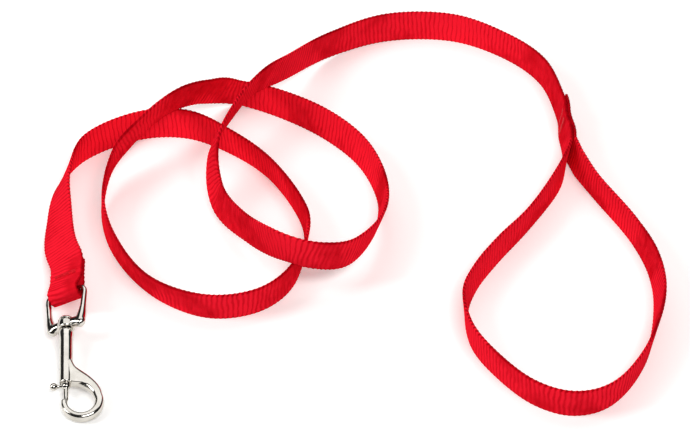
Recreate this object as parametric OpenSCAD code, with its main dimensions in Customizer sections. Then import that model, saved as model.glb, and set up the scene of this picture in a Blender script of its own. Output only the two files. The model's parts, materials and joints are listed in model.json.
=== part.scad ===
// Dog lead: nylon webbing lead with a sewn hand loop and a swivel bolt snap.
// It lies on a flat surface at z = 0, standing on the edge of its webbing.
// +X is the longest way across the layout, +Z is up.

/* [Webbing] */
// Width of the webbing
web_w = 15; // [14.6:0.1:15.4]
// Thickness of one ply of webbing
web_t = 1.4; // [1.2:0.1:1.6]
// Bevel along the selvedges
web_bevel = 0.4; // [0.2:0.1:0.5]
// Width of the webbing where it is squeezed into the eye
fold_w = 13.6; // [13:0.1:13.7]
// Inside radius of the loose fold round the eye bar
fold_r = 2.7; // [2:0.1:3]
// Length of the two plies behind the eye bar
fold_len = 18; // [16:0.5:18]

/* [Stitching] */
// Length of a bar tack across the webbing
tack_len = 10; // [7:0.5:12]
// Width of a bar tack
tack_w = 2.2; // [1.6:0.1:3]
// Height of the thread above the webbing
tack_h = 0.35; // [0.2:0.05:0.5]

/* [Swivel eye] */
// Radius of the eye's bars
eye_bar_r = 1.15; // [1:0.05:1.3]
// Half of the spacing of the side bars at the top bar
eye_half_w = 8.5; // [8.4:0.1:9]
// Thickness of the eye's crosspiece
eye_base_t = 3.4; // [3:0.1:4]
// Distance from the top bar to the crosspiece's inner face
eye_inner_len = 14.6; // [14:0.1:15]
// Distance from the top bar to the crosspiece's outer face
eye_outer_len = 18.8; // [18.4:0.1:19]

/* [Bolt snap] */
// Outer radius of the barrel
barrel_r = 2.8; // [2.6:0.1:3]
// Radius of the barrel's bore
bore_r = 1.85; // [1.8:0.05:1.9]
// Distance from the eye bar to the barrel's top face
barrel_top = 19.2; // [19.1:0.1:19.4]
// Distance from the eye bar to the barrel's bottom face
barrel_end = 45.6; // [45:0.1:46]
// Thickness of the hook
hook_t = 4.4; // [4:0.1:4.8]
// Outer radius of the hook's bow
bow_r = 8.6; // [8.4:0.1:8.8]
// Radius of the opening in the bow
throat_r = 5.3; // [5:0.1:5.4]
// Travel of the sliding bolt
bolt_travel = 7; // [5:0.5:7]
// Radius of the bolt's tip
bolt_tip_r = 1; // [0.9:0.05:1.1]
// Radius of the thumb knob's ball
knob_r = 1.6; // [1.4:0.1:1.8]
// Radius of the spring wire
spring_wire_r = 0.2; // [0.15:0.05:0.25]
// Number of turns in the spring
spring_turns = 9; // [7:1:11]

/* [Hidden] */
$fn = 48;

// Where the snap lies: the eye bar's centre, then how the snap is turned
bar_centre = [-116.5, -57, 10];
snap_yaw = 4;
snap_pitch = 7;
eye_roll = 27;
fold_pitch = -4;

// Route of the webbing's centre line: x, y, height of the centre, and the lean of the
// upper edge towards the left of travel, where 0 stands on edge and 90 lies flat
lead_route = [
    [-118, -39, 10.8, -64], [-122, -26, 8, -60], [-124, -8, 5.8, -47], [-124, 13, 7.1, -28],
    [-116, 34, 7.5, -3], [-94, 48, 7.5, 6], [-72, 49, 7.5, 7], [-52, 37, 7.5, -3],
    [-35, 20, 7.5, -5], [-22, -4, 7.5, 0], [-19, -22, 7.5, 8], [-25, -45, 7.5, 4],
    [-39, -59, 7.5, 6], [-60, -62, 7.5, 7], [-82, -51, 7.4, 11], [-98, -29, 7.5, 2],
    [-105.5, -5, 8.5, -4], [-103, 17, 14, -11], [-92, 31, 21, -15], [-78, 46, 23.5, -15],
    [-65, 60, 17, -16], [-52, 69, 9, -6], [-32, 63, 7.5, 6], [-11, 49, 7.4, 12],
    [5, 30, 7.4, 12], [13, 6, 7.8, 12], [11, -17, 10.5, 17], [0, -39, 16, 8],
    [-14, -47, 21.5, 2], [-29, -43, 23, 0], [-44, -23, 14, -2], [-57, 0, 10, -15],
    [-59, 19, 21, -21], [-51, 41, 23.5, -17], [-41, 58, 24.5, -17], [-29, 77, 17, -9],
    [-10, 102, 9, -4], [16, 116, 7.5, 5], [46, 116, 7.5, 4], [70, 103, 7.5, 0],
    [86, 85, 7.5, 3], [92.5, 61, 7.5, 6], [93, 48, 7.4, 9], [94, 34, 7.4, 11]];

// Route of the hand loop, from the end of the lead round to the start of the sewn overlap
loop_route = [
    [94, 34, 7.4, 11], [89, 15, 7.5, -2], [75, -10, 7.5, 3], [61, -29, 7.5, -1],
    [51, -45, 7.5, -3], [46, -60, 7.5, -7], [48, -78, 7.5, -3], [57, -94, 7.5, -3],
    [71, -109, 7.5, -4], [87, -115, 7.5, -4], [103, -109, 7.5, -4], [117, -89, 7.5, -5],
    [125, -62, 7.5, -12], [125, -39, 7.5, -8], [118, -17, 7.5, -1], [105, 8, 7.5, 0],
    [98, 24, 7.5, -8]];

ring_steps = 2;
tail_points = 3;
ply_gap = 0.05;

// One point of a smooth curve through the route, between points i and i + 1
function spline(r, i, t) =
    let (e = len(r) - 1, a = r[max(i - 1, 0)], b = r[i], c = r[min(i + 1, e)], d = r[min(i + 2, e)])
    0.5 * (2 * b + (c - a) * t + (2 * a - 5 * b + 4 * c - d) * pow(t, 2)
           + (3 * b - a - 3 * c + d) * pow(t, 3));

function smooth(r) = concat(
    [for (i = [0 : len(r) - 2]) for (k = [0 : ring_steps - 1]) spline(r, i, k / ring_steps)],
    [r[len(r) - 1]]);

function place(p) = [p[0], p[1], p[2]];

function unit(v) = v / norm(v);

// Direction of travel, width direction and thickness direction at each ring
function travel(r, i) = unit(place(r[min(i + 1, len(r) - 1)]) - place(r[max(i - 1, 0)]));

function across(r, i) =
    let (t = travel(r, i), left = unit([-t[1], t[0], 0]), up = cross(t, left))
    cos(r[i][3]) * up + sin(r[i][3]) * left;

function outward(r, i) = cross(travel(r, i), across(r, i));

// Corners of the webbing's section, as width and thickness offsets
section = let (w = web_w / 2, t = web_t / 2, b = web_bevel)
    [[w, t - b], [w - b, t], [b - w, t], [-w, t - b],
     [-w, b - t], [b - w, -t], [w - b, -t], [w, b - t]];

module ribbon(route) {
    rings = smooth(route);
    n = len(rings);
    m = len(section);
    points = [for (i = [0 : n - 1]) for (s = section)
        place(rings[i]) + s[0] * across(rings, i) + s[1] * outward(rings, i)];
    sides = [for (i = [0 : n - 2]) for (k = [0 : m - 1])
        let (a = i * m + k, b = i * m + (k + 1) % m)
        each [[a, b, b + m], [a, b + m, a + m]]];
    first_cap = [[for (k = [m - 1 : -1 : 0]) k]];
    last_cap = [[for (k = [0 : m - 1]) (n - 1) * m + k]];
    polyhedron(points, concat(sides, first_cap, last_cap), convexity = 10);
}

// The sewn tail lies against the outer face of the lead's last stretch
lead_end = len(lead_route) - 1;
tail_route = [for (k = [0 : tail_points - 1])
    let (i = lead_end - k, q = place(lead_route[i]) - (web_t + ply_gap) * outward(lead_route, i))
    [q[0], q[1], q[2], -lead_route[i][3]]];

module lead_webbing() {
    color("crimson") ribbon(lead_route);
}

module handle_loop() {
    color("crimson") ribbon(concat(loop_route, tail_route));
}

// Local frame of the snap: origin at the eye bar, -Y towards the hook, +Z out of its face
module snap_place() {
    translate(bar_centre) rotate([0, 0, snap_yaw]) rotate([snap_pitch, 0, 0]) children();
}

module eye_place() {
    snap_place() rotate([0, -eye_roll, 0]) children();
}

module fold_place() {
    eye_place() rotate([fold_pitch, 0, 0]) children();
}

// Side view of the fold: a half ring round the bar, then two plies that close up
arc_steps = 24;
ply_stations = [0.12, 0.38, 1] * fold_len;
ply_narrowing = 0.3;

function ply_side(offsets, s) = [for (k = [0 : 2]) [ply_stations[k], s * offsets[k]]];

function half_ring(r, s) =
    [for (k = [0 : arc_steps]) let (a = 90 + 180 * k / arc_steps) [r * cos(a), s * r * sin(a)]];

function reversed(list) = [for (k = [len(list) - 1 : -1 : 0]) list[k]];

module fold_profile() {
    outer = fold_r + web_t;
    outside = [outer - ply_narrowing, web_t + ply_gap, web_t];
    inside = [fold_r - ply_narrowing, ply_gap, ply_gap / 2];
    polygon(concat(
        reversed(ply_side(outside, 1)), half_ring(outer, 1), ply_side(outside, -1),
        reversed(ply_side(inside, -1)), half_ring(fold_r, -1), ply_side(inside, 1)));
}

module snap_fold() {
    color("crimson") fold_place()
        translate([-fold_w / 2, 0, 0]) rotate([90, 0, 90]) linear_extrude(fold_w) fold_profile();
}

module bar_tack() {
    cube([tack_len, tack_w, tack_h], center = true);
}

module snap_bar_tack() {
    color("darkred") fold_place() for (s = [-1, 1])
        translate([0, fold_len / 2, s * (web_t + tack_h / 2 + ply_gap)]) bar_tack();
}

// Turns a tack so that it lies across the lead, at ring i, shifted out of its middle by d
module on_lead(i, d) {
    rings = smooth(lead_route);
    o = place(rings[i]) + d * outward(rings, i);
    x = across(rings, i);
    y = travel(rings, i);
    z = cross(x, y);
    multmatrix([[x[0], y[0], z[0], o[0]],
                [x[1], y[1], z[1], o[1]],
                [x[2], y[2], z[2], o[2]],
                [0, 0, 0, 1]]) children();
}

module handle_bar_tacks() {
    color("darkred") for (i = [ring_steps * lead_end - 3, ring_steps * lead_end - 2]) {
        on_lead(i, (web_t + tack_h) / 2) bar_tack();
        on_lead(i, -(1.5 * web_t + ply_gap + tack_h / 2)) bar_tack();
    }
}

stud_r = 1.5;
stud_clearance = 0.05;
eye_base_half = 7.1;
eye_boss_r = 3.6;

module rod_between(a, b, r) {
    d = b - a;
    translate(a) rotate([0, acos(d[2] / norm(d)), atan2(d[1], d[0])]) cylinder(h = norm(d), r = r);
}

// A cylinder along the snap's length, from y_low upwards
module along_snap(y_low, h, r) {
    translate([0, y_low, 0]) rotate([-90, 0, 0]) cylinder(h = h, r = r);
}

module swivel_eye() {
    y_in = -eye_inner_len;
    y_out = -eye_outer_len;
    color("silver") eye_place() difference() {
        union() {
            translate([-eye_half_w, 0, 0]) rotate([0, 90, 0]) cylinder(h = 2 * eye_half_w, r = eye_bar_r);
            for (s = [-1, 1]) {
                translate([s * eye_half_w, 0, 0]) sphere(1.06 * eye_bar_r);
                rod_between([s * eye_half_w, 0, 0], [s * eye_base_half, y_in - 0.4, 0], eye_bar_r);
            }
            translate([0, 0, -eye_base_t / 2]) linear_extrude(eye_base_t)
                polygon([[-8.2, y_in + 2], [-7.9, y_in - 0.5], [-6.2, y_out + 0.9], [-4, y_out],
                         [4, y_out], [6.2, y_out + 0.9], [7.9, y_in - 0.5], [8.2, y_in + 2],
                         [6.2, y_in + 2], [5.2, y_in], [-5.2, y_in], [-6.2, y_in + 2]]);
            along_snap(y_out, eye_outer_len - eye_inner_len, eye_boss_r);
        }
        along_snap(y_out - 1, 10, stud_r + stud_clearance);
    }
}

dome_r = 3.4;
dome_h = 2;
stud_plug_len = 3.2;

module swivel_stud() {
    head_y = -eye_inner_len + 0.1;
    ball_r = (dome_r * dome_r + dome_h * dome_h) / (2 * dome_h);
    color("silver") snap_place() union() {
        translate([0, head_y, 0]) rotate([-90, 0, 0]) intersection() {
            cylinder(h = dome_h, r = dome_r);
            translate([0, 0, dome_h - ball_r]) sphere(ball_r);
        }
        along_snap(-barrel_top - 0.1, barrel_top + head_y + 0.2, stud_r);
        along_snap(-barrel_top - stud_plug_len, stud_plug_len, bore_r);
    }
}

bow_centre = [6.4, -54.8];
gate_top = -barrel_end;
gate_bottom = -54;
slot_half = 1;
arm_y = -46.6;
arm_r = 0.8;
knob_reach = 4.9;

module hook_outline() {
    difference() {
        union() {
            translate(bow_centre) circle(bow_r);
            polygon([[0, -33], [2.6, -34], [3.4, -36.6], [5.9, -39.6], [9.6, -42.8], [12.9, -47],
                     [14.6, -51.5], [6, -55], [0, -47], [-2.4, -45.6], [-2.4, -33]]);
        }
        translate([bow_centre[0] - 0.3, bow_centre[1]]) circle(throat_r);
        translate([bow_centre[0] - 1.2, bow_centre[1] + 2.4]) circle(throat_r - 0.4);
        translate([-4, gate_bottom]) square([6, gate_top - gate_bottom]);
    }
}

module hook_body() {
    slot_top = arm_y + bolt_travel + arm_r + 0.2;
    slot_depth = barrel_r + 1;
    color("silver") snap_place() difference() {
        union() {
            along_snap(-barrel_end, barrel_end - barrel_top, barrel_r);
            translate([0, 0, -hook_t / 2]) linear_extrude(hook_t) hook_outline();
        }
        along_snap(-barrel_end - 3, barrel_end + 3, bore_r);
        translate([-slot_depth, -barrel_end - 1, -slot_half])
            cube([slot_depth, slot_top + barrel_end, 2 * slot_half]);
        translate([-slot_depth, slot_top - slot_half, 0]) rotate([0, 90, 0])
            cylinder(h = slot_depth, r = slot_half);
    }
}

piston_top = -37.5;
piston_end = -47.6;
piston_clearance = 0.06;

module bolt_plunger() {
    color("silver") snap_place() difference() {
        union() {
            along_snap(piston_end, piston_top - piston_end, bore_r - piston_clearance);
            along_snap(gate_bottom + 0.05, 8, bolt_tip_r);
        }
        translate([-3, arm_y, 0]) rotate([0, 90, 0]) cylinder(h = 4, r = arm_r);
    }
}

// Half section of the knob: the ball, then the neck that runs into the bolt
module knob_profile() {
    neck = asin(arm_r / knob_r);
    ball = [for (k = [0 : 24]) let (a = 180 - (180 - neck) * k / 24) [knob_r * sin(a), knob_r * cos(a)]];
    polygon(concat(ball, [[arm_r, knob_reach + 1], [0, knob_reach + 1]]));
}

module thumb_knob() {
    color("silver") snap_place()
        translate([-knob_reach, arm_y, 0]) rotate([0, 90, 0]) rotate_extrude() knob_profile();
}

// Coil spring between the stud's plug and the bolt, as one swept wire
module bolt_spring() {
    y0 = -barrel_top - stud_plug_len - spring_wire_r - 0.05;
    y1 = piston_top + spring_wire_r + 0.05;
    coil_r = bore_r - spring_wire_r - 0.15;
    sides = 6;
    per_turn = 14;
    n = spring_turns * per_turn;
    points = [for (i = [0 : n]) for (k = [0 : sides - 1])
        let (a = 360 * i / per_turn, b = 360 * k / sides, r = coil_r + spring_wire_r * cos(b))
        [r * cos(a), y0 + (y1 - y0) * i / n + spring_wire_r * sin(b), r * sin(a)]];
    wall = [for (i = [0 : n - 1]) for (k = [0 : sides - 1])
        let (p = i * sides + k, q = i * sides + (k + 1) % sides)
        each [[p, q, q + sides], [p, q + sides, p + sides]]];
    first_cap = [[for (k = [sides - 1 : -1 : 0]) k]];
    last_cap = [[for (k = [0 : sides - 1]) n * sides + k]];
    color("gray") snap_place() polyhedron(points, concat(wall, first_cap, last_cap), convexity = 10);
}

lead_webbing();
snap_fold();
handle_loop();
snap_bar_tack();
handle_bar_tacks();
swivel_eye();
swivel_stud();
hook_body();
bolt_plunger();
thumb_knob();
bolt_spring();
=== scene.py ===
import json
import math

import bmesh
import bpy
import numpy as np
from mathutils import Matrix, Vector


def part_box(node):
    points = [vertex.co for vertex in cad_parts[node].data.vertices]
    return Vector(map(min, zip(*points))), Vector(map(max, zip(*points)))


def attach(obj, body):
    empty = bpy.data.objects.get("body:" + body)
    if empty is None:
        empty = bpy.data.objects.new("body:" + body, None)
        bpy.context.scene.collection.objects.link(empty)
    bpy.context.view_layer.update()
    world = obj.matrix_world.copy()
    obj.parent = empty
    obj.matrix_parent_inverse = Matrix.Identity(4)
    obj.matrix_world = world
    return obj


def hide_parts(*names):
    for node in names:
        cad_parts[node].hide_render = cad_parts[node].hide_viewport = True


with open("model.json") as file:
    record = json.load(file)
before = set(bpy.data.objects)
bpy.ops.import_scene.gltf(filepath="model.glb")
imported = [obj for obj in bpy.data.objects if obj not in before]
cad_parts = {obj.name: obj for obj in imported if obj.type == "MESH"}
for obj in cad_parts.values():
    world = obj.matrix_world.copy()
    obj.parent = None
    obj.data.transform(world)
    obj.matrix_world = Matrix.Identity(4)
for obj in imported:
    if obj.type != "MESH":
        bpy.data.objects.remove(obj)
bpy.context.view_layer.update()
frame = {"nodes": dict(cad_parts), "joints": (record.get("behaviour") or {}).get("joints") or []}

MM = 0.001

# -------------------------------------------------- driving sizes in metres, counts, and a tilt in degrees
WEB_WIDTH = 15 * MM
WEB_THICK = 1.4 * MM
PLY_GAP = 0.05 * MM
FOLD_WIDTH = 13.6 * MM
FOLD_RADIUS = 2.9 * MM
FOLD_LENGTH = 18 * MM
PLY_OFFSET = 0.1 * MM
FOLD_TILT = -4
SQUEEZED_RINGS = 20
EASING_RINGS = 26
ROUTE_STEPS = 40
RIB_PITCH = 2.05 * MM
RIB_HEIGHT = 0.24 * MM
SCALLOP = 0.3 * MM
YARN_WIDTH = 0.47 * MM
RINGS_PER_RIB = 8
TACK_LENGTH = 10 * MM
TACK_WIDTH = 2.2 * MM
TACK_PASSES = 22
THREAD_RADIUS = 0.17 * MM
THREAD_SIDES = 6
CASTING_VOXEL = 0.13 * MM

# The webbing's route, as x, y, height of the centre, and the lean of the upper edge in degrees
LEAD_ROUTE = [
    (-118, -39, 10.8, -64), (-122, -26, 8, -60), (-124, -8, 5.8, -47), (-124, 13, 7.1, -28),
    (-116, 34, 7.5, -3), (-94, 48, 7.5, 6), (-72, 49, 7.5, 7), (-52, 37, 7.5, -3),
    (-35, 20, 7.5, -5), (-22, -4, 7.5, 0), (-19, -22, 7.5, 8), (-25, -45, 7.5, 4),
    (-39, -59, 7.5, 6), (-60, -62, 7.5, 7), (-82, -51, 7.4, 11), (-98, -29, 7.5, 2),
    (-105.5, -5, 8.5, -4), (-103, 17, 14, -11), (-92, 31, 21, -15), (-78, 46, 23.5, -15),
    (-65, 60, 17, -16), (-52, 69, 9, -6), (-32, 63, 7.5, 6), (-11, 49, 7.4, 12),
    (5, 30, 7.4, 12), (13, 6, 7.8, 12), (11, -17, 10.5, 17), (0, -39, 16, 8),
    (-14, -47, 21.5, 2), (-29, -43, 23, 0), (-44, -23, 14, -2), (-57, 0, 10, -15),
    (-59, 19, 21, -21), (-51, 41, 23.5, -17), (-41, 58, 24.5, -17), (-29, 77, 17, -9),
    (-10, 102, 9, -4), (16, 116, 7.5, 5), (46, 116, 7.5, 4), (70, 103, 7.5, 0),
    (86, 85, 7.5, 3), (92.5, 61, 7.5, 6), (93, 48, 7.4, 9), (94, 34, 7.4, 11)]
LOOP_ROUTE = [
    (94, 34, 7.4, 11), (89, 15, 7.5, -2), (75, -10, 7.5, 3), (61, -29, 7.5, -1),
    (51, -45, 7.5, -3), (46, -60, 7.5, -7), (48, -78, 7.5, -3), (57, -94, 7.5, -3),
    (71, -109, 7.5, -4), (87, -115, 7.5, -4), (103, -109, 7.5, -4), (117, -89, 7.5, -5),
    (125, -62, 7.5, -12), (125, -39, 7.5, -8), (118, -17, 7.5, -1), (105, 8, 7.5, 0),
    (98, 24, 7.5, -8)]
TAIL_POINTS = 3

# ---------------------------------------------------------------- frames of the snap, from its joints
joints = {joint["name"]: joint for joint in frame["joints"]}


def axes_at(origin, x_axis, y_axis):
    """Matrix of a local frame, from its origin and two of its axes."""
    x, y = Vector(x_axis).normalized(), Vector(y_axis).normalized()
    made = Matrix((x, y, x.cross(y))).transposed().to_4x4()
    made.translation = Vector(origin)
    return made


bar_centre = joints["eye_pivot"]["pos_m"]
barrel_up = Vector(joints["bolt_slide"]["axis"])
eye_across = Vector(joints["eye_pivot"]["axis"])
SNAP = axes_at(bar_centre, Vector((barrel_up.y, -barrel_up.x, 0)), barrel_up)
EYE = axes_at(bar_centre, eye_across, barrel_up)
FOLD = EYE @ Matrix.Rotation(math.radians(FOLD_TILT), 4, "X")


# ---------------------------------------------------------------- camera
def make_camera():
    data = bpy.data.cameras.new("camera")
    data.sensor_width = 36
    data.lens = 125.2
    camera = bpy.data.objects.new("camera", data)
    elevation = math.radians(44)
    distance = 1.0213
    target = Vector((-0.003, -0.006, 0))
    camera.location = target + distance * Vector((0, -math.cos(elevation), math.sin(elevation)))
    camera.rotation_euler = (math.radians(90) - elevation, 0, 0)
    bpy.context.scene.collection.objects.link(camera)
    bpy.context.scene.camera = camera


make_camera()


# ---------------------------------------------------------------- mesh helpers
def finished(name, bm, body, material, replaces=()):
    """Turns a bmesh into a piece that rides on a body."""
    mesh = bpy.data.meshes.new(name)
    bm.to_mesh(mesh)
    bm.free()
    return as_piece(name, mesh, body, material, replaces)


def as_piece(name, mesh, body, material, replaces=()):
    mesh.shade_smooth()
    mesh.materials.clear()
    mesh.materials.append(material)
    piece = bpy.data.objects.new(name, mesh)
    bpy.context.scene.collection.objects.link(piece)
    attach(piece, body)
    if replaces:
        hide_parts(*replaces)
    return piece


def bent_grid(rings, around, place, uv=None):
    """A tube bent out of a flat grid: place(ring, spoke) gives each vertex, and both ends are closed."""
    bm = bmesh.new()
    bmesh.ops.create_grid(bm, x_segments=rings - 1, y_segments=around, size=0.5)
    seats = {}
    for vertex in bm.verts:
        ring = round((vertex.co.x + 0.5) * (rings - 1))
        spoke = round((vertex.co.y + 0.5) * around)
        seats[vertex] = (ring, spoke % around)
    if uv:
        layer = bm.loops.layers.uv.new("weave")
        for face in bm.faces:
            for loop in face.loops:
                loop[layer].uv = uv(*seats[loop.vert])
    for vertex, seat in seats.items():
        vertex.co = place(*seat)
    bmesh.ops.remove_doubles(bm, verts=bm.verts, dist=1e-7)
    open_edges = [edge for edge in bm.edges if edge.is_boundary]
    bmesh.ops.holes_fill(bm, edges=open_edges, sides=around + 1)
    bmesh.ops.recalc_face_normals(bm, faces=bm.faces)
    return bm


def turned(profile, steps=64):
    """A solid turned about the local Y axis, from (radius, y) points given in millimetres."""
    bm = bmesh.new()
    corners = [bm.verts.new((radius * MM, y * MM, 0)) for radius, y in profile]
    edges = [bm.edges.new(pair) for pair in zip(corners, corners[1:])]
    bmesh.ops.spin(bm, geom=corners + edges, cent=(0, 0, 0), axis=(0, 1, 0), angle=2 * math.pi,
                   steps=steps, use_merge=True)
    bmesh.ops.remove_doubles(bm, verts=bm.verts, dist=1e-7)
    bmesh.ops.recalc_face_normals(bm, faces=bm.faces)
    return bm


def swept(stations, squareness=3.0, around=28, steps=8):
    """A round-ended bar along a flat route of (x, y, width, thickness) stations in millimetres."""
    route = np.array(stations, float)
    rows = [spline_point(route, i, k / steps) for i in range(len(route) - 1) for k in range(steps)]
    rows = np.array(rows + [route[-1]]) * MM
    ends = 5
    along = directions(rows[:, :2])

    def place(ring, spoke):
        row = min(max(ring - ends, 0), len(rows) - 1)
        x, y, width, thick = rows[row]
        shrink, push = 1.0, 0.0
        if ring < ends:
            angle = math.radians(90 * (ends - ring) / ends)
            shrink, push = math.cos(angle), -math.sin(angle) * width / 2
        elif ring >= len(rows) + ends:
            angle = math.radians(90 * (ring - ends - len(rows) + 1) / ends)
            shrink, push = math.cos(angle), math.sin(angle) * width / 2
        shrink = max(shrink, 0.02)
        turn = 2 * math.pi * spoke / around
        side = math.copysign(abs(math.cos(turn)) ** (2 / squareness), math.cos(turn)) * width / 2 * shrink
        rise = math.copysign(abs(math.sin(turn)) ** (2 / squareness), math.sin(turn)) * thick / 2 * shrink
        tx, ty = along[row]
        return Vector((x + push * tx - side * ty, y + push * ty + side * tx, rise))

    return bent_grid(len(rows) + 2 * ends, around, place)


def plate(outline, thick):
    """A flat plate from an outline in millimetres, centred on z = 0."""
    bm = bmesh.new()
    corners = [bm.verts.new((x * MM, y * MM, -thick * MM / 2)) for x, y in outline]
    base = bm.faces.new(corners)
    grown = bmesh.ops.extrude_face_region(bm, geom=[base])
    risen = [item for item in grown["geom"] if isinstance(item, bmesh.types.BMVert)]
    bmesh.ops.translate(bm, verts=risen, vec=(0, 0, thick * MM))
    bmesh.ops.recalc_face_normals(bm, faces=bm.faces)
    return bm


def joined(parts):
    """All the parts in one bmesh."""
    whole = bmesh.new()
    for part in parts:
        scrap = bpy.data.meshes.new("part")
        part.to_mesh(scrap)
        part.free()
        whole.from_mesh(scrap)
        bpy.data.meshes.remove(scrap)
    return whole


def fused(parts, passes, cutters):
    """One casting out of several overlapping shapes, with soft inside corners, then cut."""
    whole = joined(parts)
    mesh = bpy.data.meshes.new("casting")
    whole.to_mesh(mesh)
    whole.free()
    blank = bpy.data.objects.new("casting", mesh)
    bpy.context.scene.collection.objects.link(blank)
    remesh = blank.modifiers.new("remesh", "REMESH")
    remesh.mode = "VOXEL"
    remesh.voxel_size = CASTING_VOXEL
    soften = blank.modifiers.new("soften", "SMOOTH")
    soften.factor = 0.5
    soften.iterations = passes
    tools = []
    for cutter in cutters:
        shape = bpy.data.meshes.new("cutter")
        cutter.to_mesh(shape)
        cutter.free()
        tool = bpy.data.objects.new("cutter", shape)
        bpy.context.scene.collection.objects.link(tool)
        tools.append(tool)
        cut = blank.modifiers.new("cut", "BOOLEAN")
        cut.operation = "DIFFERENCE"
        cut.solver = "MANIFOLD"
        cut.object = tool
    shown = blank.evaluated_get(bpy.context.evaluated_depsgraph_get())
    result = bpy.data.meshes.new_from_object(shown)
    for scrap in [blank, *tools]:
        bpy.data.objects.remove(scrap)
    return result


# ---------------------------------------------------------------- the strip of webbing
def spline_point(route, i, t):
    """One point of a smooth curve through the route, between points i and i + 1."""
    last = len(route) - 1
    a, b, c, d = (route[min(max(k, 0), last)] for k in (i - 1, i, i + 1, i + 2))
    return 0.5 * (2 * b + (c - a) * t + (2 * a - 5 * b + 4 * c - d) * t ** 2
                  + (3 * b - a - 3 * c + d) * t ** 3)


def unit_rows(rows):
    return rows / np.linalg.norm(rows, axis=1)[:, None]


def directions(points):
    return unit_rows(np.gradient(points, axis=0))


def width_directions(points, lean):
    """Upward direction across the webbing, leaning from upright towards the left of travel."""
    along = directions(points)
    left = unit_rows(np.stack([-along[:, 1], along[:, 0], np.zeros(len(along))], 1))
    upright = np.cross(along, left)
    return np.cos(lean)[:, None] * upright + np.sin(lean)[:, None] * left


def dense(route, steps=ROUTE_STEPS):
    route = np.array(route, float)
    made = [spline_point(route, i, k / steps) for i in range(len(route) - 1) for k in range(steps)]
    made = np.array(made + [route[-1]])
    return made[:, :3] * MM, np.radians(made[:, 3])


def smoothed(rows, half):
    """Moving average along the strip, with the ends held."""
    padded = np.concatenate([np.repeat(rows[:1], half, 0), rows, np.repeat(rows[-1:], half, 0)])
    total = np.cumsum(np.concatenate([np.zeros((1, rows.shape[1])), padded]), axis=0)
    return (total[2 * half + 1:] - total[:-2 * half - 1]) / (2 * half + 1)


def fold_line():
    """Centre line of the webbing round the eye bar, from its cut end under the bar back to the lead."""
    radius = FOLD_RADIUS + WEB_THICK / 2
    closed = WEB_THICK / 2 + PLY_GAP
    ply = [(0.9, 1.0), (0.6, 1.0), (0.36, 1.1), (0.2, 2.3)]
    rows = [(PLY_OFFSET * share, FOLD_LENGTH * share, -closed * gap) for share, gap in ply]
    for k in range(13):
        angle = math.radians(100 + 160 * k / 12)
        rows.append((0, radius * math.cos(angle), -radius * math.sin(angle)))
    rows += [(0, FOLD_LENGTH * share, closed * gap) for share, gap in reversed(ply[1:])]
    rows.append((0, FOLD_LENGTH * 0.8, closed * 0.6))
    route = np.array([(x / MM, y / MM, z / MM, 0) for x, y, z in rows])
    local, lean = dense(route, steps=12)
    turn = np.array(FOLD.to_3x3())
    points = local @ turn.T + np.array(FOLD.translation)
    across = np.repeat(turn[:, :1].T, len(points), 0)
    return points, across


def even_steps(points, across, step):
    """The strip again, with rings a step apart."""
    gone = np.concatenate([[0], np.cumsum(np.linalg.norm(np.diff(points, axis=0), axis=1))])
    count = int(round(gone[-1] / step)) + 1
    at = np.linspace(0, gone[-1], count)
    points = np.stack([np.interp(at, gone, points[:, k]) for k in range(3)], 1)
    across = np.stack([np.interp(at, gone, across[:, k]) for k in range(3)], 1)
    return points, across


def whole_strip():
    """The strip of webbing from end to end: points, width directions, and the rings where it is divided."""
    fold_points, fold_across = fold_line()
    route = LEAD_ROUTE + LOOP_ROUTE[1:]
    points, lean = dense(route)
    across = width_directions(points, lean)
    ends_at = (len(LEAD_ROUTE) - 1) * ROUTE_STEPS
    starts_at = (len(LEAD_ROUTE) - TAIL_POINTS) * ROUTE_STEPS
    sewn = slice(starts_at, ends_at + 1)
    outward = np.cross(directions(points), across)
    tail = points[sewn][::-1] - (WEB_THICK + PLY_GAP) * outward[sewn][::-1]
    tail_across = across[sewn][::-1]
    all_points = np.concatenate([fold_points, points, tail])
    all_across = np.concatenate([fold_across, across, tail_across])
    step = RIB_PITCH / RINGS_PER_RIB
    all_points, all_across = even_steps(all_points, all_across, step)
    all_points, all_across = smoothed(all_points, 5), smoothed(all_across, 9)
    all_points, all_across = even_steps(all_points, all_across, step)
    along = directions(all_points)
    all_across = unit_rows(all_across - np.sum(all_across * along, 1)[:, None] * along)
    lead_start = nearest_ring(all_points, points[0])
    lead_end = nearest_ring(all_points, points[ends_at])
    return all_points, all_across, lead_start, lead_end


def nearest_ring(points, target):
    return int(np.argmin(np.linalg.norm(points - target, axis=1)))


strip_points, strip_across, LEAD_START, LEAD_END = whole_strip()
strip_outward = np.cross(directions(strip_points), strip_across)
fold_end = Vector(bar_centre) - FOLD_RADIUS * barrel_up
BAR_RING = nearest_ring(strip_points[:LEAD_START], np.array(fold_end))

FACE_STEPS = 8
EDGE_STEPS = 4
AROUND = 2 * (FACE_STEPS + EDGE_STEPS)


def section_point(spoke):
    """Corner of the webbing's section: share of the half width, share of the half thickness, face share."""
    half = FACE_STEPS + EDGE_STEPS
    side = 1 if spoke < half else -1
    k = spoke % half
    flat = 1 - WEB_THICK / WEB_WIDTH
    if k <= FACE_STEPS:
        return side * flat * (1 - 2 * k / FACE_STEPS), side, 1.0
    angle = math.pi * (k - FACE_STEPS) / EDGE_STEPS
    return side * (-flat - (1 - flat) * math.sin(angle)), side * math.cos(angle), 0.0


SECTION = [section_point(spoke) for spoke in range(AROUND)]


def wander(x, seed):
    """A slow, smooth wave that doesn't repeat over the strip."""
    slow = math.sin(x * 1.0 + seed)
    middle = 0.6 * math.sin(x * 2.3 + 2.1 * seed)
    quick = 0.3 * math.sin(x * 5.1 + 3.7 * seed)
    return (slow + middle + quick) / 1.9


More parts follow.
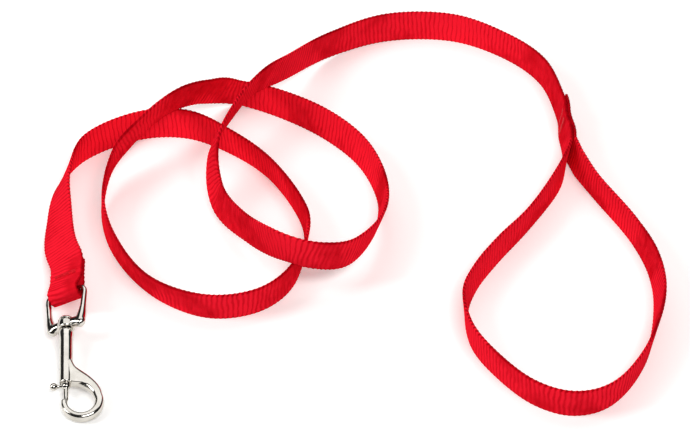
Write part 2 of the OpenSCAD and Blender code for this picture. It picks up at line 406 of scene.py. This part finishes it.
def strip_width(ring):
    """The webbing is squeezed where it passes through the eye."""
    share = min(max((abs(ring - BAR_RING) - SQUEEZED_RINGS) / EASING_RINGS, 0), 1)
    share = share * share * (3 - 2 * share)
    return FOLD_WIDTH + (WEB_WIDTH - FOLD_WIDTH) * share


def rib_phase(ring, spoke):
    """How many cross ribs lie before this place: they run a little aslant and not quite straight."""
    across_share, thick_share, _ = SECTION[spoke]
    travelled = ring / RINGS_PER_RIB
    waver = 0.22 * wander(travelled * 0.45 + across_share * 2.6, 1.7)
    return travelled + 0.25 * thick_share + 0.08 * across_share + waver


def webbing(name, first, last, replaces, material):
    """One piece of the strip, from ring first to ring last, with its cross ribs and scalloped selvedges."""
    def place(k, spoke):
        ring = first + k
        across_share, thick_share, face = SECTION[spoke]
        travelled = ring / RINGS_PER_RIB
        relief_and_painted_highlight = 0.62 + 0.38 * wander(travelled * 0.17 + across_share * 0.6, 2.9)
        groove = 1 - abs(math.sin(math.pi * rib_phase(ring, spoke))) ** 0.9
        half_width = strip_width(ring) / 2
        half_thick = WEB_THICK / 2
        width = across_share * half_width
        if face:
            thick = thick_share * (half_thick - RIB_HEIGHT * relief_and_painted_highlight * groove)
        else:
            thick = thick_share * half_thick
            scallop = SCALLOP * (abs(math.sin(math.pi * (travelled + 0.25))) - 1)
            width += math.copysign(scallop, across_share)
        drift = 0.12 * MM * wander(travelled * 0.13 + across_share * 0.8, 0.4) * (1 if face else 0)
        return Vector(strip_points[ring] + width * strip_across[ring] + (thick + drift) * strip_outward[ring])

    def uv(k, spoke):
        return rib_phase(first + k, spoke) * RIB_PITCH, SECTION[spoke][0] * WEB_WIDTH / 2

    bm = bent_grid(last - first + 1, AROUND, place, uv)
    return finished(name, bm, "webbing", material, replaces)


def strip_length(first, last):
    steps = np.diff(strip_points[first:last + 1], axis=0)
    return float(np.linalg.norm(steps, axis=1).sum())


# ---------------------------------------------------------------- materials
def new_material(name):
    made = bpy.data.materials.new(name)
    made.use_nodes = True
    tree = made.node_tree
    tree.nodes.clear()
    shader = tree.nodes.new("ShaderNodeBsdfPrincipled")
    output = tree.nodes.new("ShaderNodeOutputMaterial")
    tree.links.new(shader.outputs["BSDF"], output.inputs["Surface"])
    return made, tree, shader


def math_node(tree, operation, a, b=None, c=None):
    node = tree.nodes.new("ShaderNodeMath")
    node.operation = operation
    for socket, value in zip(node.inputs, (a, b, c)):
        if value is None:
            continue
        if isinstance(value, (int, float)):
            socket.default_value = value
        else:
            tree.links.new(value, socket)
    return node.outputs[0]


def noise(tree, vector, scale, detail):
    node = tree.nodes.new("ShaderNodeTexNoise")
    tree.links.new(vector, node.inputs["Vector"])
    node.inputs["Scale"].default_value = scale
    node.inputs["Detail"].default_value = detail
    return node.outputs["Fac"]


def scaled(tree, vector, scale):
    node = tree.nodes.new("ShaderNodeMapping")
    node.inputs["Scale"].default_value = scale
    tree.links.new(vector, node.inputs["Vector"])
    return node.outputs["Vector"]


def half_waves(tree, turns, sharpness):
    """Rows of rounded humps, one for each whole turn, with narrow valleys between them."""
    swing = math_node(tree, "SINE", math_node(tree, "MULTIPLY", turns, math.pi))
    return math_node(tree, "POWER", math_node(tree, "ABSOLUTE", swing), sharpness)


def bumped(tree, shader, height, distance, strength):
    bump = tree.nodes.new("ShaderNodeBump")
    bump.inputs["Strength"].default_value = strength
    bump.inputs["Distance"].default_value = distance
    tree.links.new(height, bump.inputs["Height"])
    tree.links.new(bump.outputs["Normal"], shader.inputs["Normal"])


def ramp(tree, shader, factor, stops):
    node = tree.nodes.new("ShaderNodeValToRGB")
    elements = node.color_ramp.elements
    while len(elements) < len(stops):
        elements.new(0.5)
    for element, (position, colour) in zip(elements, stops):
        element.position = position
        element.color = (*colour, 1)
    tree.links.new(factor, node.inputs["Fac"])
    tree.links.new(node.outputs["Color"], shader.inputs["Base Color"])


def webbing_material():
    """Red nylon webbing: warp yarns over cross ribs, with a matt face and darker selvedges; the rib crowns
    carry a painted highlight and the grooves between them painted shade, stronger in some patches.
    """
    made, tree, shader = new_material("red_nylon_webbing")
    place = tree.nodes.new("ShaderNodeUVMap")
    place.uv_map = "weave"
    split = tree.nodes.new("ShaderNodeSeparateXYZ")
    tree.links.new(place.outputs["UV"], split.inputs["Vector"])
    where = tree.nodes.new("ShaderNodeTexCoord")
    ribs = math_node(tree, "MULTIPLY", split.outputs["X"], 1 / RIB_PITCH)
    yarns = math_node(tree, "MULTIPLY", split.outputs["Y"], 1 / YARN_WIDTH)
    crown = half_waves(tree, ribs, 2.2)
    yarn = half_waves(tree, yarns, 0.6)
    fibre = noise(tree, scaled(tree, place.outputs["UV"], (900, 9000, 1)), 1.0, 3.0)
    cloud = noise(tree, where.outputs["Object"], 40, 2.0)
    own = tree.nodes.new("ShaderNodeCombineXYZ")
    tree.links.new(math_node(tree, "MULTIPLY", math_node(tree, "FLOOR", ribs), 0.73), own.inputs["X"])
    tree.links.new(math_node(tree, "MULTIPLY", split.outputs["Y"], 160), own.inputs["Y"])
    rib_tone = noise(tree, own.outputs["Vector"], 1.0, 1.0)
    side = math_node(tree, "MULTIPLY", math_node(tree, "ABSOLUTE", split.outputs["Y"]), 2 / WEB_WIDTH)
    rim = math_node(tree, "MULTIPLY", math_node(tree, "SUBTRACT", side, 0.9), 10)
    rim = math_node(tree, "MINIMUM", math_node(tree, "MAXIMUM", rim, 0), 1)

    # Patches where the painted highlight on the rib crowns and the painted shade in the grooves show
    # strongly.
    painted_highlight_zone = math_node(tree, "MULTIPLY", noise(tree, where.outputs["Object"], 30, 1.0), 4.5)
    relief_and_painted_highlight = math_node(tree, "MAXIMUM", math_node(tree, "SUBTRACT", painted_highlight_zone, 1.9), 0.0)
    relief_and_painted_highlight = math_node(tree, "MINIMUM", relief_and_painted_highlight, 0.9)
    # Painted highlight on the rib crowns and painted shade in the grooves, scaled by those patches.
    tone = math_node(tree, "ADD", math_node(tree, "MULTIPLY", crown, relief_and_painted_highlight), 0.1)
    tone = math_node(tree, "ADD", tone, math_node(tree, "MULTIPLY", rib_tone, 0.46))
    tone = math_node(tree, "ADD", tone, math_node(tree, "MULTIPLY", yarn, 0.08))
    tone = math_node(tree, "ADD", tone, math_node(tree, "MULTIPLY", fibre, 0.16))
    tone = math_node(tree, "ADD", tone, math_node(tree, "MULTIPLY", cloud, 0.24))
    tone = math_node(tree, "SUBTRACT", tone, math_node(tree, "MULTIPLY", rim, 0.4))
    # The ramp's dark end carries the painted shade and its bright end the painted highlight, as well as the
    # random tone.
    ramp(tree, shader, tone, [(0.05, (0.2, 0.0008, 0.004)), (0.42, (0.52, 0.0025, 0.008)),
                              (0.85, (0.9, 0.012, 0.03))])

    height = math_node(tree, "MULTIPLY", crown, 0.8)
    height = math_node(tree, "ADD", height, math_node(tree, "MULTIPLY", yarn, 0.5))
    height = math_node(tree, "ADD", height, math_node(tree, "MULTIPLY", fibre, 0.3))
    bumped(tree, shader, height, 0.00009, 0.55)
    shader.inputs["Roughness"].default_value = 0.5
    shader.inputs["Specular IOR Level"].default_value = 0.0
    return made


def thread_material():
    """Red bonded thread, twisted, of much the same red as the webbing."""
    made, tree, shader = new_material("red_bonded_thread")
    where = tree.nodes.new("ShaderNodeTexCoord")
    twist = noise(tree, scaled(tree, where.outputs["Object"], (3200, 1500, 2600)), 1.0, 2.0)
    ramp(tree, shader, twist, [(0.3, (0.45, 0.002, 0.007)), (0.7, (0.82, 0.008, 0.022))])
    bumped(tree, shader, twist, 0.00006, 0.6)
    shader.inputs["Roughness"].default_value = 0.45
    shader.inputs["Specular IOR Level"].default_value = 0.06
    return made


def nickel_material():
    """Bright nickel plate over a die casting."""
    made, tree, shader = new_material("bright_nickel_plate")
    where = tree.nodes.new("ShaderNodeTexCoord")
    orange_peel = noise(tree, where.outputs["Object"], 380, 2.0)
    bumped(tree, shader, orange_peel, 0.0001, 0.03)
    haze = noise(tree, where.outputs["Object"], 900, 4.0)
    rough = tree.nodes.new("ShaderNodeMapRange")
    rough.inputs["To Min"].default_value = 0.06
    rough.inputs["To Max"].default_value = 0.16
    tree.links.new(haze, rough.inputs["Value"])
    tree.links.new(rough.outputs["Result"], shader.inputs["Roughness"])
    tarnish = noise(tree, where.outputs["Object"], 150, 3.0)
    ramp(tree, shader, tarnish, [(0.3, (0.56, 0.53, 0.48)), (0.7, (0.7, 0.67, 0.62))])
    shader.inputs["Metallic"].default_value = 1.0
    return made


def spring_material():
    """Drawn spring wire, with fine marks along the coil."""
    made, tree, shader = new_material("drawn_spring_steel")
    where = tree.nodes.new("ShaderNodeTexCoord")
    marks = noise(tree, scaled(tree, where.outputs["Object"], (900, 5200, 900)), 1.0, 3.0)
    bumped(tree, shader, marks, 0.00003, 0.4)
    ramp(tree, shader, marks, [(0.3, (0.22, 0.22, 0.23)), (0.7, (0.42, 0.42, 0.43))])
    shader.inputs["Roughness"].default_value = 0.34
    shader.inputs["Metallic"].default_value = 1.0
    return made


WEBBING = webbing_material()
THREAD = thread_material()
NICKEL = nickel_material()
SPRING_STEEL = spring_material()

# ---------------------------------------------------------------- cords
lead = webbing("lead", LEAD_START, LEAD_END, ("lead_webbing",), WEBBING)
tuple(strip_points[LEAD_START])
round(strip_length(LEAD_START, LEAD_END), 3)
[tuple(p) for p in strip_points[LEAD_START:LEAD_END + 1:8]]
LAST = len(strip_points) - 1
hand_loop = webbing("hand_loop", LEAD_END, LAST, ("handle_loop",), WEBBING)
tuple(strip_points[LEAD_END])
round(strip_length(LEAD_END, LAST), 3)
[tuple(p) for p in strip_points[LEAD_END:LAST + 1:8]]

# ---------------------------------------------------------------- sewn ends
webbing("snap_end_fold", 0, LEAD_START, ("snap_fold",), WEBBING)


def tack(seat):
    """One bar tack: a thread that zigzags across the seat's plane and dips at each turn."""
    steps = 8
    rings = TACK_PASSES * 2 * steps + 1

    def centre(ring):
        swing = math.pi * ring / steps
        x = TACK_LENGTH * (ring / (rings - 1) - 0.5)
        y = (TACK_WIDTH / 2 - THREAD_RADIUS) * math.cos(swing)
        return Vector((x, y, -1.4 * THREAD_RADIUS * abs(math.cos(swing)) ** 6))

    def place(ring, spoke):
        along = (centre(ring + 0.5) - centre(ring - 0.5)).normalized()
        side = along.cross(Vector((0, 0, 1))).normalized()
        turn = 2 * math.pi * spoke / THREAD_SIDES
        round_it = math.cos(turn) * side + math.sin(turn) * side.cross(along)
        return seat @ (centre(ring) + THREAD_RADIUS * round_it)

    return bent_grid(rings, THREAD_SIDES, place)


def seat_on_strip(ring, offset):
    """A seat for a tack that lies across the webbing, offset out of the strip's middle."""
    outward = Vector(strip_outward[ring]) * math.copysign(1, offset)
    made = axes_at(strip_points[ring], strip_across[ring], outward.cross(Vector(strip_across[ring])))
    made.translation += outward * abs(offset)
    return made


def make_tacks():
    on_face = WEB_THICK / 2 + 0.5 * THREAD_RADIUS
    on_fold = PLY_GAP + WEB_THICK + 0.5 * THREAD_RADIUS
    flip = Matrix.Rotation(math.pi, 4, "Y")
    out = Matrix.Translation((0, FOLD_LENGTH / 2, on_fold))
    fold_seats = [FOLD @ turn @ out for turn in (Matrix(), flip)]
    snap_tacks = joined([tack(seat) for seat in fold_seats])
    finished("snap_tack_thread", snap_tacks, "webbing", THREAD, ("snap_bar_tack",))

    route = np.array(LEAD_ROUTE, float)
    last = len(route) - 1
    places = [spline_point(route, last - 2, 0.5), route[last - 1]]
    rings = [nearest_ring(strip_points[:LEAD_END], place[:3] * MM) for place in places]
    offsets = (on_face, -(on_face + WEB_THICK + PLY_GAP))
    handle_tacks = joined([tack(seat_on_strip(ring, offset)) for ring in rings for offset in offsets])
    finished("handle_tack_thread", handle_tacks, "webbing", THREAD, ("handle_bar_tacks",))


make_tacks()

# ---------------------------------------------------------------- the snap
def in_frame(mesh, matrix):
    mesh.transform(matrix)
    return mesh


def ball_profile(radius, centre, last_angle):
    """Half section of a ball, from its top down to an angle in degrees."""
    turns = [math.radians(last_angle * k / 14) for k in range(15)]
    return [(radius * math.sin(turn), centre + radius * math.cos(turn)) for turn in turns]


def barrel_profile():
    return ball_profile(3.1, -20.9, 100) + [
        (2.95, -22.4), (2.82, -23.4), (2.8, -24.6), (2.8, -45.2), (2.6, -45.6), (0, -45.6)]


def make_hook():
    """The barrel with its round top, the sloping shoulder and the bow, cast in one."""
    bow_radius, bow_x, bow_y = 6.95, 6.3, -54.8
    around_bow = [(176, 2.7, 3.6), (192, 2.9, 4.2), (214, 3.1, 4.4), (242, 3.2, 4.4), (270, 3.3, 4.4),
                  (300, 3.4, 4.4), (330, 3.6, 4.4), (360, 3.7, 4.4), (385, 3.9, 4.4)]
    bow = []
    for angle, width, thick in around_bow:
        turn = math.radians(angle)
        bow.append((bow_x + bow_radius * math.cos(turn), bow_y + bow_radius * math.sin(turn), width, thick))
    shoulder = [(11.9, -49.8, 4.2, 4.4), (10.2, -47.3, 4.8, 4.4), (7.3, -44.6, 5.8, 4.4),
                (4.0, -42.0, 6.4, 4.4), (1.9, -39.0, 5.0, 4.6), (0.9, -36.0, 4.2, 4.8),
                (0.3, -33.5, 3.8, 4.8)]
    web = [(-1, -40), (4, -41), (8.5, -45), (8.4, -47.3), (6.4, -46.4), (4, -46.05), (2, -45.6), (-1, -45.6)]
    bore = turned([(0, -24), (1.85, -24), (1.85, -47), (0, -47)], 40)
    slot_cut = plate([(-4, -38.4), (0, -38.4), (0, -47), (-4, -47)], 2.1)
    shapes = [turned(barrel_profile()), swept(bow + shoulder, 2.7), plate(web, 4.2)]
    mesh = fused(shapes, 18, [bore, slot_cut])
    return as_piece("snap_hook", in_frame(mesh, SNAP), "hook", NICKEL, ("hook_body",))


def make_eye():
    """The swivel eye: a bar through the webbing, two side bars, and the crosspiece that the stud turns in."""
    half = [(0, 0, 2.3, 2.3), (3.5, 0, 2.3, 2.3), (6.4, 0, 2.3, 2.3), (7.95, -0.75, 2.35, 2.3),
            (8.5, -2.4, 2.3, 2.3), (8.25, -6, 2.25, 2.4), (7.9, -10, 2.4, 2.8), (7.4, -13.2, 3.2, 3.6),
            (6.8, -15.8, 3.8, 4.1), (6.2, -17.6, 3.6, 4.0)]
    frame_bar = [(-x, y, w, t) for x, y, w, t in reversed(half[1:])] + half
    half_cross = [(3, -16.4, 4.4, 4.3), (6.5, -16.8, 4.6, 4.2)]
    crosspiece = [(-x, y, w, t) for x, y, w, t in reversed(half_cross)] + half_cross
    boss = turned([(0, -14.6), (2.7, -14.6), (3.3, -15.0), (3.5, -16.2), (3.55, -18.2), (3.3, -18.6),
                   (0, -18.6)])
    bowl = turned(ball_profile(3.5, -20.9, 180))
    hole = turned([(0, -10), (1.55, -10), (1.55, -22), (0, -22)], 40)
    shapes = [swept(frame_bar, 2.5), swept(crosspiece, 2.2), boss]
    mesh = fused(shapes, 30, [hole, bowl])
    return as_piece("swivel_eye_frame", in_frame(mesh, EYE), "eye", NICKEL, ("swivel_eye",))


def make_stud():
    """The swivel stud: a domed head inside the eye, and a neck down into the barrel."""
    turns = [math.radians(angle) for angle in range(0, 91, 9)]
    dome = [(3.3 * math.sin(turn), -14.5 + 2.1 * math.cos(turn)) for turn in turns]
    neck = [(1.5, -14.5), (1.5, -19.3), (1.84, -19.3), (1.84, -22.4), (0, -22.4)]
    profile = dome + neck
    bm = turned(profile)
    bmesh.ops.transform(bm, matrix=SNAP, verts=bm.verts)
    return finished("swivel_stud_head", bm, "hook", NICKEL, ("swivel_stud",))


def make_bolt():
    """The sliding bolt: a piston in the bore, and a slimmer rod that shuts the gate."""
    piston = [(0, -37.5), (1.6, -37.5), (1.79, -37.7), (1.79, -47.1), (1.6, -47.5)]
    rod = [(1.05, -47.8), (1.0, -48.2), (1.0, -53.2), (0.85, -53.7), (0.5, -53.93), (0, -53.95)]
    bm = turned(piston + rod, 48)
    bmesh.ops.transform(bm, matrix=SNAP, verts=bm.verts)
    return finished("bolt", bm, "bolt", NICKEL, ("bolt_plunger",))


def make_knob():
    """The thumb knob: a ball on a waisted arm."""
    turns = [math.radians(angle) for angle in range(0, 141, 10)]
    ball = [(1.6 * math.sin(turn), 1.6 * math.cos(turn)) for turn in turns]
    arm = [(0.84, -1.5), (0.74, -1.9), (0.72, -2.5), (0.8, -3.1), (0.92, -3.7), (0.9, -5.6), (0, -5.6)]
    bm = turned(ball + arm, 40)
    to_side = Matrix.Translation((-4.9 * MM, -46.6 * MM, 0)) @ Matrix.Rotation(math.radians(90), 4, "Z")
    bmesh.ops.transform(bm, matrix=SNAP @ to_side, verts=bm.verts)
    return finished("thumb_knob_ball", bm, "bolt", NICKEL, ("thumb_knob",))


make_hook()
make_eye()
make_stud()
make_bolt()
make_knob()

# ---------------------------------------------------------------- floor and lights
def make_floor():
    bm = bmesh.new()
    bmesh.ops.create_grid(bm, x_segments=1, y_segments=1, size=3)
    mesh = bpy.data.meshes.new("floor")
    bm.to_mesh(mesh)
    bm.free()
    floor = bpy.data.objects.new("floor", mesh)
    made, tree, shader = new_material("pale_floor")
    shader.inputs["Base Color"].default_value = (0.93, 0.93, 0.92, 1)
    shader.inputs["Emission Color"].default_value = (1, 0.99, 0.97, 1)
    shader.inputs["Emission Strength"].default_value = 0.22
    shader.inputs["Roughness"].default_value = 0.6
    mesh.materials.append(made)
    bpy.context.scene.collection.objects.link(floor)
    floor.location.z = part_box("hook_body")[0].z - 0.0001


def softbox(name, location, aim, size, power):
    data = bpy.data.lights.new(name, "AREA")
    data.shape = "RECTANGLE"
    data.size, data.size_y = size
    data.energy = power
    lamp = bpy.data.objects.new(name, data)
    lamp.location = location
    lamp.rotation_euler = (Vector(aim) - Vector(location)).to_track_quat("-Z", "Y").to_euler()
    bpy.context.scene.collection.objects.link(lamp)


make_floor()
softbox("back_softbox", (0.0, 0.9, 1.5), (0, 0, 0), (2.2, 1.4), 13)
softbox("left_softbox", (-1.3, -0.2, 1.0), (0, 0, 0), (0.5, 1.0), 13)
softbox("front_softbox", (0.5, -1.0, 1.7), (0, 0, 0), (1.2, 0.7), 25)
world = bpy.data.worlds.new("studio")
bpy.context.scene.world = world
world.use_nodes = True
world.node_tree.nodes["Background"].inputs["Color"].default_value = (0.9, 0.92, 0.95, 1)
world.node_tree.nodes["Background"].inputs["Strength"].default_value = 0.03
bpy.context.scene.view_settings.view_transform = "Standard"

spring = frame["nodes"]["bolt_spring"]
spring.data.materials.clear()
spring.data.materials.append(SPRING_STEEL)
